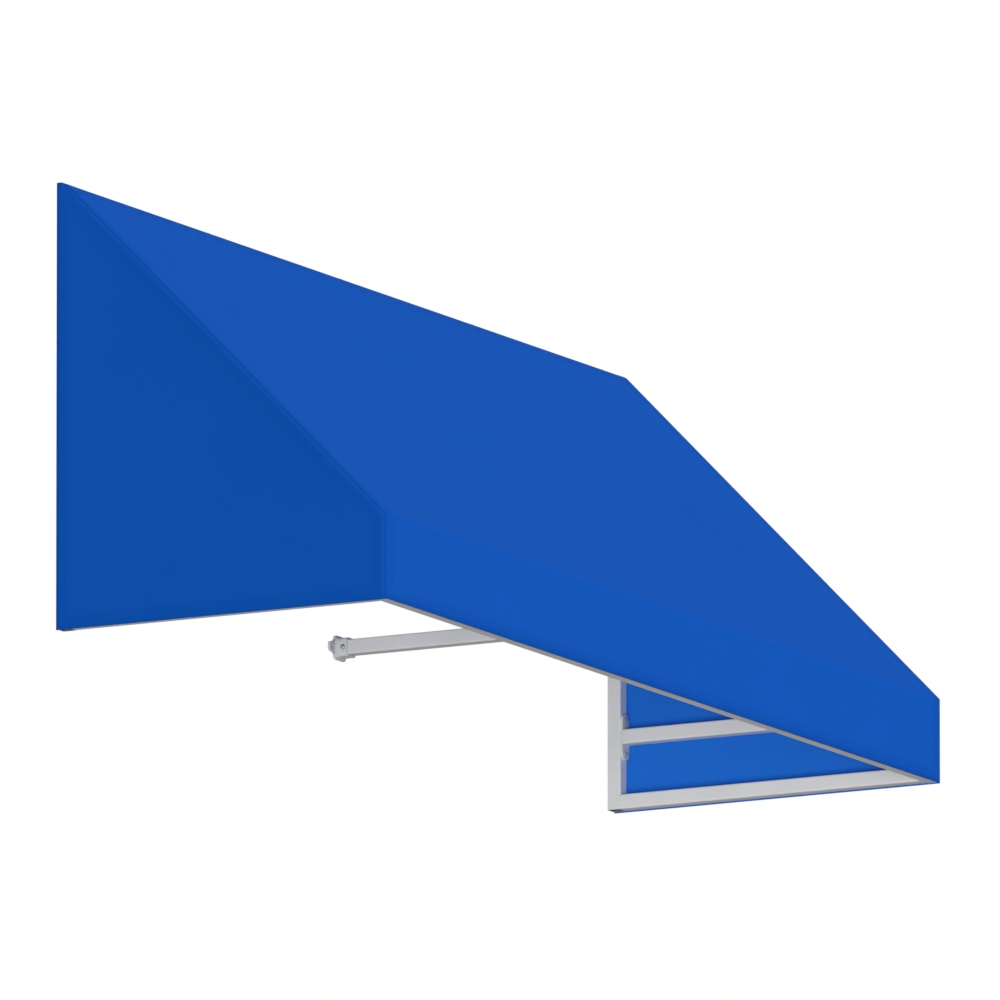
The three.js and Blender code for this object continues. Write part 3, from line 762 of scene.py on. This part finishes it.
def cloth_form(rows, columns, place):
    """A closed sheet from place(row, column) = outer point, inner point, flat place, doubled."""
    form = bmesh.new()
    flat_layer = form.loops.layers.uv.new("cloth")
    doubled_layer = form.verts.layers.float.new("doubled")
    outer, inner, flat = [], [], {}
    for row in rows:
        outer_row, inner_row = [], []
        for column in columns:
            outer_point, inner_point, flat_place, doubled = place(row, column)
            for point, into in ((outer_point, outer_row), (inner_point, inner_row)):
                vert = form.verts.new(point)
                vert[doubled_layer] = doubled
                flat[vert] = flat_place
                into.append(vert)
        outer.append(outer_row)
        inner.append(inner_row)
    last_row, last_column = len(rows) - 1, len(columns) - 1
    for i in range(last_row):
        for j in range(last_column):
            form.faces.new((outer[i][j], outer[i][j + 1], outer[i + 1][j + 1], outer[i + 1][j]))
            back_face = form.faces.new(
                (inner[i][j], inner[i + 1][j], inner[i + 1][j + 1], inner[i][j + 1])
            )
            # The back faces take the lighter blue, painted light.
            back_face.material_index = 1
    rim = [(0, j) for j in range(last_column)] + [(i, last_column) for i in range(last_row)]
    rim += [(last_row, j) for j in range(last_column, 0, -1)] + [(i, 0) for i in range(last_row, 0, -1)]
    middles = []
    for i, j in rim:
        inside_i = min(max(i, 1), last_row - 1)
        inside_j = min(max(j, 1), last_column - 1)
        outwards = (outer[i][j].co - outer[inside_i][inside_j].co).normalized()
        middle = form.verts.new((outer[i][j].co + inner[i][j].co) / 2 + outwards * EDGE_BULGE)
        middle[doubled_layer] = 1
        flat[middle] = flat[outer[i][j]]
        middles.append(middle)
    for k, (i, j) in enumerate(rim):
        next_i, next_j = rim[(k + 1) % len(rim)]
        mid, next_mid = middles[k], middles[(k + 1) % len(rim)]
        form.faces.new((outer[next_i][next_j], outer[i][j], mid, next_mid))
        form.faces.new((next_mid, mid, inner[i][j], inner[next_i][next_j]))
    for face in form.faces:
        face.smooth = True
        for loop in face.loops:
            loop[flat_layer].uv = flat[loop.vert]
    return form


def add_canvas(name, form, node_name):
    """A panel of canvas with its back painted a lighter blue, as painted light."""
    piece = add_piece(name, form, CANVAS, "canvas", node_name)
    piece.data.materials.append(CANVAS_INSIDE_PAINTED_LIGHT)
    return piece


# ======================================================================= roof and front panel
# One piece of canvas from the wall to the hem. It passes over the batten, falls to the crease and
# drops straight to the front hem. Its side edges roll over the rafters to meet the wings.
cover_low, cover_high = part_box("cover_main_panel")
HALF_WIDTH = cover_high.x
WALL = cover_high.y
FRONT = cover_low.y
TOP = cover_high.z
LEDGE = 0.0075
ROOF_IN = 0.0243
ROOF_DOWN = 0.0066
CREASE = 0.142
TOP_HEM = 0.048
SEAM_ROUND = 0.003
SEAM_STEPS = 6
ARC_STEPS = 8
ROOF_SAG = 0.0035
DROP_SAG = 0.0006
FULLER = 0.8
roof_corners = [
    (Vector((WALL, TOP)), 0),
    (Vector((WALL - LEDGE, TOP)), 0.006),
    (Vector((WALL - ROOF_IN, TOP - ROOF_DOWN)), 0.010),
    (Vector((FRONT, CREASE)), 0.005),
    (Vector((FRONT, 0)), 0),
]


def rounded_line(corners):
    """(distance along, point, outward normal) down a line of corners with round bends."""
    samples = []
    travelled = 0.0
    here = corners[0][0]
    for index in range(1, len(corners)):
        corner, radius = corners[index]
        way_in = (corner - corners[index - 1][0]).normalized()
        normal_in = Vector((way_in.y, -way_in.x))
        if radius == 0:
            stop = corner
        else:
            way_out = (corners[index + 1][0] - corner).normalized()
            bend = math.acos(max(-1.0, min(1.0, way_in.dot(way_out))))
            stop = corner - way_in * (radius * math.tan(bend / 2))
        samples.append((travelled, here, normal_in))
        travelled += (stop - here).length
        samples.append((travelled, stop, normal_in))
        here = stop
        if radius:
            centre = stop - normal_in * radius
            for step in range(1, ARC_STEPS + 1):
                turned = bend * step / ARC_STEPS
                normal = Matrix.Rotation(turned, 2) @ normal_in
                samples.append((travelled + radius * turned, centre + normal * radius, normal))
            travelled += radius * bend
            here = samples[-1][1]
    return samples


roof_line = rounded_line(roof_corners)
ROOF_LENGTH = roof_line[-1][0]
crease_place = next(s for s, point, _ in reversed(roof_line) if point.x > FRONT + 1e-6)


def down_roof(distance):
    """The point (Y, Z) and outward normal at a distance from the wall along the cloth."""
    for (s0, p0, n0), (s1, p1, n1) in zip(roof_line, roof_line[1:]):
        if distance <= s1 and s1 > s0:
            share = (distance - s0) / (s1 - s0)
            return p0.lerp(p1, share), n0.lerp(n1, share).normalized()
    return roof_line[-1][1], roof_line[-1][2]


def hump(amount):
    """0 at and past both ends of 0 to 1, 1 in the middle."""
    return math.sin(math.pi * amount) if 0 < amount < 1 else 0.0


# The tubes that the cloth lies on, each with its low and high corner. The left side is the same.
under_cloth = {name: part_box(name) for name in (
    "middle_rafter", "right_rafter", "front_bottom_rail", "eave_rail", "right_upright",
    "right_bottom_tube", "right_arm", "right_front_post",
)}


def roof_sag(distance, x, z):
    """How far the cloth hangs in between the tubes under it."""
    middle_face = under_cloth["middle_rafter"][1].x
    side_face = under_cloth["right_rafter"][0].x
    between_rafters = hump((abs(x) - middle_face) / (side_face - middle_face))
    header_edge = ROOF_IN + TUBE
    eave_edge = crease_place - 1.5 * TUBE
    on_roof = hump((distance - header_edge) / (eave_edge - header_edge)) ** FULLER
    rail_top, rail_low = under_cloth["front_bottom_rail"][1].z, under_cloth["eave_rail"][0].z
    on_front = hump((z - rail_top) / (rail_low - rail_top)) if distance > crease_place else 0.0
    return between_rafters * (ROOF_SAG * on_roof + DROP_SAG * on_front)


def roof_surface(distance, x, rolled=0.0):
    """The outer point, its normal and how single the cloth is. rolled is the turn at a side."""
    point, normal = down_roof(distance)
    side_gap = HALF_WIDTH - abs(x)
    single = min(
        single_share(side_gap, HEM),
        single_share(distance, TOP_HEM),
        single_share(ROOF_LENGTH - distance, HEM),
    )
    fall = SINGLE_DROP * single + roof_sag(distance, x, point.y) + SEAM_ROUND * (1 - math.cos(rolled))
    square = Vector((0, normal.x, normal.y))
    outer = Vector((x, point.x, point.y)) - square * fall
    sideways = Vector((math.copysign(1, x), 0, 0))
    return outer, square * math.cos(rolled) + sideways * math.sin(rolled), single


def roof_place(distance, column):
    """The roof panel's points for cloth_form. A column is an X and the turn of a rolled edge."""
    x, rolled = column
    outer, normal, single = roof_surface(distance, x, rolled)
    inner = outer - normal * (PLY * (2 - single))
    extra = SEAM_ROUND * (rolled - math.sin(rolled))
    return outer, inner, (x + math.copysign(extra, x), distance), 1 - single


roll_start = HALF_WIDTH - SEAM_ROUND
flat_columns = stations(-roll_start, roll_start, [HEM - HALF_WIDTH, HALF_WIDTH - HEM], [0.0])
rolls = [math.pi / 2 * step / SEAM_STEPS for step in range(1, SEAM_STEPS + 1)]
rolled_columns = [(roll_start + SEAM_ROUND * math.sin(turn), turn) for turn in rolls]
roof_columns = [(-x, turn) for x, turn in reversed(rolled_columns)]
roof_columns += [(x, 0.0) for x in flat_columns] + rolled_columns
bend_rows = [s for s, _, _ in roof_line[1:-1]]
hem_rows = [TOP_HEM, ROOF_LENGTH - HEM]
roof_rows = stations(EDGE_BULGE, ROOF_LENGTH - EDGE_BULGE, hem_rows, bend_rows)
roof_form = cloth_form(roof_rows, roof_columns, roof_place)
roof_panel = add_canvas("roof_and_front_canvas", roof_form, "cover_main_panel")

# ======================================================================= wings
# A side panel closes each end, sewn to the roof panel along the slope and the front. It is
# hemmed at the bottom and at the wall and hangs a little in between the tubes.
SEAM_GAP = 0.0001
SEAM_INSET = SEAM_ROUND + 2 * EDGE_BULGE + SEAM_GAP
WING_SAG = 0.003
LOW_BAY_SAG = 0.0007
TRIANGLE_PEAK = 27
MIDDLE_ROWS = 48
EDGE_ZONE = HEM + HEM_FADE
SIDES = {"left": -1, "right": 1}

# The slope, the batten step and the ledge as lines, each with a point and an outward normal.
roof_planes = []
for (start, _), (end, _) in zip(roof_corners[:3], roof_corners[1:4]):
    way_down = (end - start).normalized()
    roof_planes.append((start, Vector((way_down.y, -way_down.x))))


def under_roof(y, z):
    """How far inside the roof line a point of a wing is."""
    return min((plane - Vector((y, z))).dot(normal) for plane, normal in roof_planes)


def height_under_roof(y, inset):
    """The height at which a point of a wing is that far inside the roof line."""
    return min(
        plane.y + ((plane.x - y) * normal.x - inset) / normal.y for plane, normal in roof_planes
    )


def wing_sag(y, z):
    """How far a wing hangs in: in the triangle over the arm, and in the low bay under it."""
    upright_face = under_cloth["right_upright"][0].y
    arm_top, arm_low = under_cloth["right_arm"][1].z, under_cloth["right_arm"][0].z
    tube_top = under_cloth["right_bottom_tube"][1].z
    post_face = under_cloth["right_front_post"][1].y
    from_upright = upright_face - y
    from_arm = z - arm_top
    from_rafter = under_roof(y, z) - TUBE
    if min(from_upright, from_arm, from_rafter) > 0:
        tall = height_under_roof(upright_face, TUBE) - arm_top
        wide = upright_face - post_face
        shares = from_upright / wide, from_arm / tall, from_rafter * math.sqrt(2) / tall
        return WING_SAG * TRIANGLE_PEAK * shares[0] * shares[1] * shares[2]
    along_bay = (y - post_face) / (upright_face - post_face)
    up_bay = (z - tube_top) / (arm_low - tube_top)
    return LOW_BAY_SAG * (hump(along_bay) * hump(up_bay))


def wing_surface(y, z, side):
    """The outer point, its normal and how single the cloth is. side is -1 or 1."""
    edge_gap = min(under_roof(y, z), y - FRONT)
    single = min(
        single_share(edge_gap, HEM),
        single_share(WALL - y, HEM),
        single_share(z, HEM),
    )
    depth = SINGLE_DROP * single + wing_sag(y, z)
    return Vector((side * (HALF_WIDTH - depth), y, z)), Vector((side, 0, 0)), single


wing_columns = stations(
    FRONT + SEAM_INSET, WALL - EDGE_BULGE,
    [FRONT + HEM, WALL - HEM], [WALL - ROOF_IN, WALL - LEDGE],
)
low_rows = [("low", z) for z in stations(EDGE_BULGE, EDGE_ZONE, [HEM])]
high_rows = [("high", inset) for inset in reversed(stations(SEAM_INSET, EDGE_ZONE, [HEM]))]
middle_rows = [("middle", step / MIDDLE_ROWS) for step in range(1, MIDDLE_ROWS)]
wing_rows = low_rows + middle_rows + high_rows


def wing_height(row, y):
    """The height of a row at Y: level rows low down, rows along the roof line high up."""
    zone, amount = row
    if zone == "low":
        return amount
    if zone == "high":
        return height_under_roof(y, amount)
    return EDGE_ZONE + (height_under_roof(y, EDGE_ZONE) - EDGE_ZONE) * amount


def wing_place(side):
    """The points of one wing for cloth_form."""
    def place(row, y):
        z = wing_height(row, y)
        outer, normal, single = wing_surface(y, z, side)
        return outer, outer - normal * (PLY * (2 - single)), (y, z), 1 - single
    return place


for side_name, side in SIDES.items():
    wing_form = cloth_form(wing_rows, wing_columns, wing_place(side))
    add_canvas(f"{side_name}_wing_canvas", wing_form, f"cover_{side_name}_wing")

# ======================================================================= seam welts
# Where a wing is sewn to the roof panel, the turned-in edges make a thin welt that fills the seam.
WELT = 0.00045
WELT_SIDES = 8
WELT_GAP = 0.00035
WELT_SHARP = 50
WELT_IN = SEAM_ROUND + EDGE_BULGE + WELT_GAP


def add_welt(name, side):
    """A thin cord of canvas along one side of the roof panel, just inside its rolled edge."""
    form = bmesh.new()
    form.verts.layers.float.new("doubled")
    rings = []
    for distance in roof_rows:
        point, normal = down_roof(distance)
        centre = point - normal * WELT_IN
        ring = []
        for step in range(WELT_SIDES):
            angle = 2 * math.pi * step / WELT_SIDES
            out = side * (HALF_WIDTH - WELT - EDGE_BULGE + WELT * math.cos(angle))
            flat_place = centre + normal * (WELT * math.sin(angle))
            ring.append(form.verts.new((out, flat_place.x, flat_place.y)))
        rings.append(ring)
    for ring_a, ring_b in zip(rings, rings[1:]):
        join_rings(form, ring_a, ring_b)
    form.faces.new(reversed(rings[0]))
    form.faces.new(rings[-1])
    smooth_by_angle(form, WELT_SHARP)
    return add_piece(name, form, CANVAS, "canvas")


welts = [add_welt(f"{side_name}_seam_welt", side) for side_name, side in SIDES.items()]

# ======================================================================= stitching
# Lockstitch in thread of the canvas's own blue: one row along each hem and one on each side of
# the seams between roof and wings.
STITCH_PITCH = 0.0042
STITCH_LONG = 0.0034
STITCH_HALF_WIDE = 0.00036
STITCH_RISE = 0.0003
STITCH_SIDES = 6
STITCH_FORM = ((-0.5, 0), (-0.3, 0.8), (0.0, 1.0), (0.3, 0.8), (0.5, 0))
ROW_INSET = 0.003
SEAM_ROW = 0.0075
THREAD_BLUE = (0.010, 0.115, 0.52, 1)
THREAD_DEEP = (0.006, 0.085, 0.42, 1)


def thread_finish():
    """Twisted blue thread, slightly shinier than the canvas."""
    made, tree, shader = finish("blue_thread", 0.6, shine=0.15)
    twist = grain(tree, 2500, detail=1)
    tree.links.new(blend_colours(tree, twist, THREAD_DEEP, THREAD_BLUE), shader.inputs["Base Color"])
    relief(tree, shader, twist, 0.00005)
    return made


THREAD = thread_finish()


def add_stitch(form, surface, middle):
    """One stitch, with its middle at a distance along the row. surface gives a row's points."""
    rings = []
    for share, swell in STITCH_FORM:
        at = middle + share * STITCH_LONG
        point, normal = surface(at)
        ahead, _ = surface(at + STITCH_LONG / 10)
        along = (ahead - point).normalized()
        sideways = along.cross(normal).normalized()
        centre = point + normal * (STITCH_RISE * (swell - 0.5))
        if not swell:
            rings.append([form.verts.new(centre)])
            continue
        ring = []
        for side in range(STITCH_SIDES):
            angle = 2 * math.pi * side / STITCH_SIDES
            offset = sideways * (STITCH_HALF_WIDE * math.cos(angle))
            offset += normal * (STITCH_RISE * math.sin(angle))
            ring.append(form.verts.new(centre + offset * swell))
        rings.append(ring)
    for ring_a, ring_b in zip(rings, rings[1:]):
        for side in range(STITCH_SIDES):
            corner = [ring_a[side % len(ring_a)], ring_a[(side + 1) % len(ring_a)]]
            corner += [ring_b[(side + 1) % len(ring_b)], ring_b[side % len(ring_b)]]
            form.faces.new(list(dict.fromkeys(corner)))


def add_stitching(name, surface, length):
    """A row of stitches."""
    form = bmesh.new()
    count = int(length / STITCH_PITCH)
    for index in range(count):
        add_stitch(form, surface, (index + 0.5) * length / count)
    for face in form.faces:
        face.smooth = True
    return add_piece(name, form, THREAD, "canvas")


def across_roof(distance):
    """A row from side to side, at a distance from the wall along the cloth."""
    start = -HALF_WIDTH + SEAM_ROUND

    def surface(along):
        point, normal, _ = roof_surface(distance, start + along)
        return point, normal
    return surface


def down_roof_edge(side):
    """A row beside a seam, from the wall to the front hem."""
    def surface(along):
        distance = min(along + EDGE_BULGE, ROOF_LENGTH)
        point, normal, _ = roof_surface(distance, side * (HALF_WIDTH - SEAM_ROW))
        return point, normal
    return surface


def along_wing(side, start, end):
    """A straight row on a wing between two (Y, Z) points."""
    def surface(along):
        place = start + (end - start).normalized() * along
        point, normal, _ = wing_surface(place.x, place.y, side)
        return point, normal
    return surface


roof_sewing = [
    add_stitching("front_hem_stitching", across_roof(ROOF_LENGTH - HEM + ROW_INSET), 2 * roll_start),
    add_stitching("top_hem_stitching", across_roof(TOP_HEM - ROW_INSET), 2 * roll_start),
]
for side_name, side in SIDES.items():
    row_name = f"{side_name}_roof_seam_stitching"
    roof_sewing.append(
        add_stitching(row_name, down_roof_edge(side), ROOF_LENGTH - 2 * EDGE_BULGE)
    )

wing_inset = SEAM_INSET + SEAM_ROW - SEAM_ROUND
seam_y = FRONT + wing_inset
hem_z = HEM - ROW_INSET
wall_y = WALL - HEM + ROW_INSET
slope_y = WALL - ROOF_IN
wing_top = Vector((slope_y, height_under_roof(slope_y, wing_inset)))
wing_crease = Vector((seam_y, height_under_roof(seam_y, wing_inset)))
wing_lines = {
    "slope_seam": (wing_top, wing_crease),
    "front_seam": (wing_crease, Vector((seam_y, EDGE_BULGE))),
    "bottom_hem": (Vector((seam_y, hem_z)), Vector((WALL - HEM, hem_z))),
    "wall_hem": (
        Vector((wall_y, EDGE_BULGE)), Vector((wall_y, height_under_roof(wall_y, wing_inset))),
    ),
}
for side_name, side in SIDES.items():
    [
        add_stitching(
            f"{side_name}_wing_{line}_stitching", along_wing(side, start, end), (end - start).length,
        )
        for line, (start, end) in wing_lines.items()
    ]
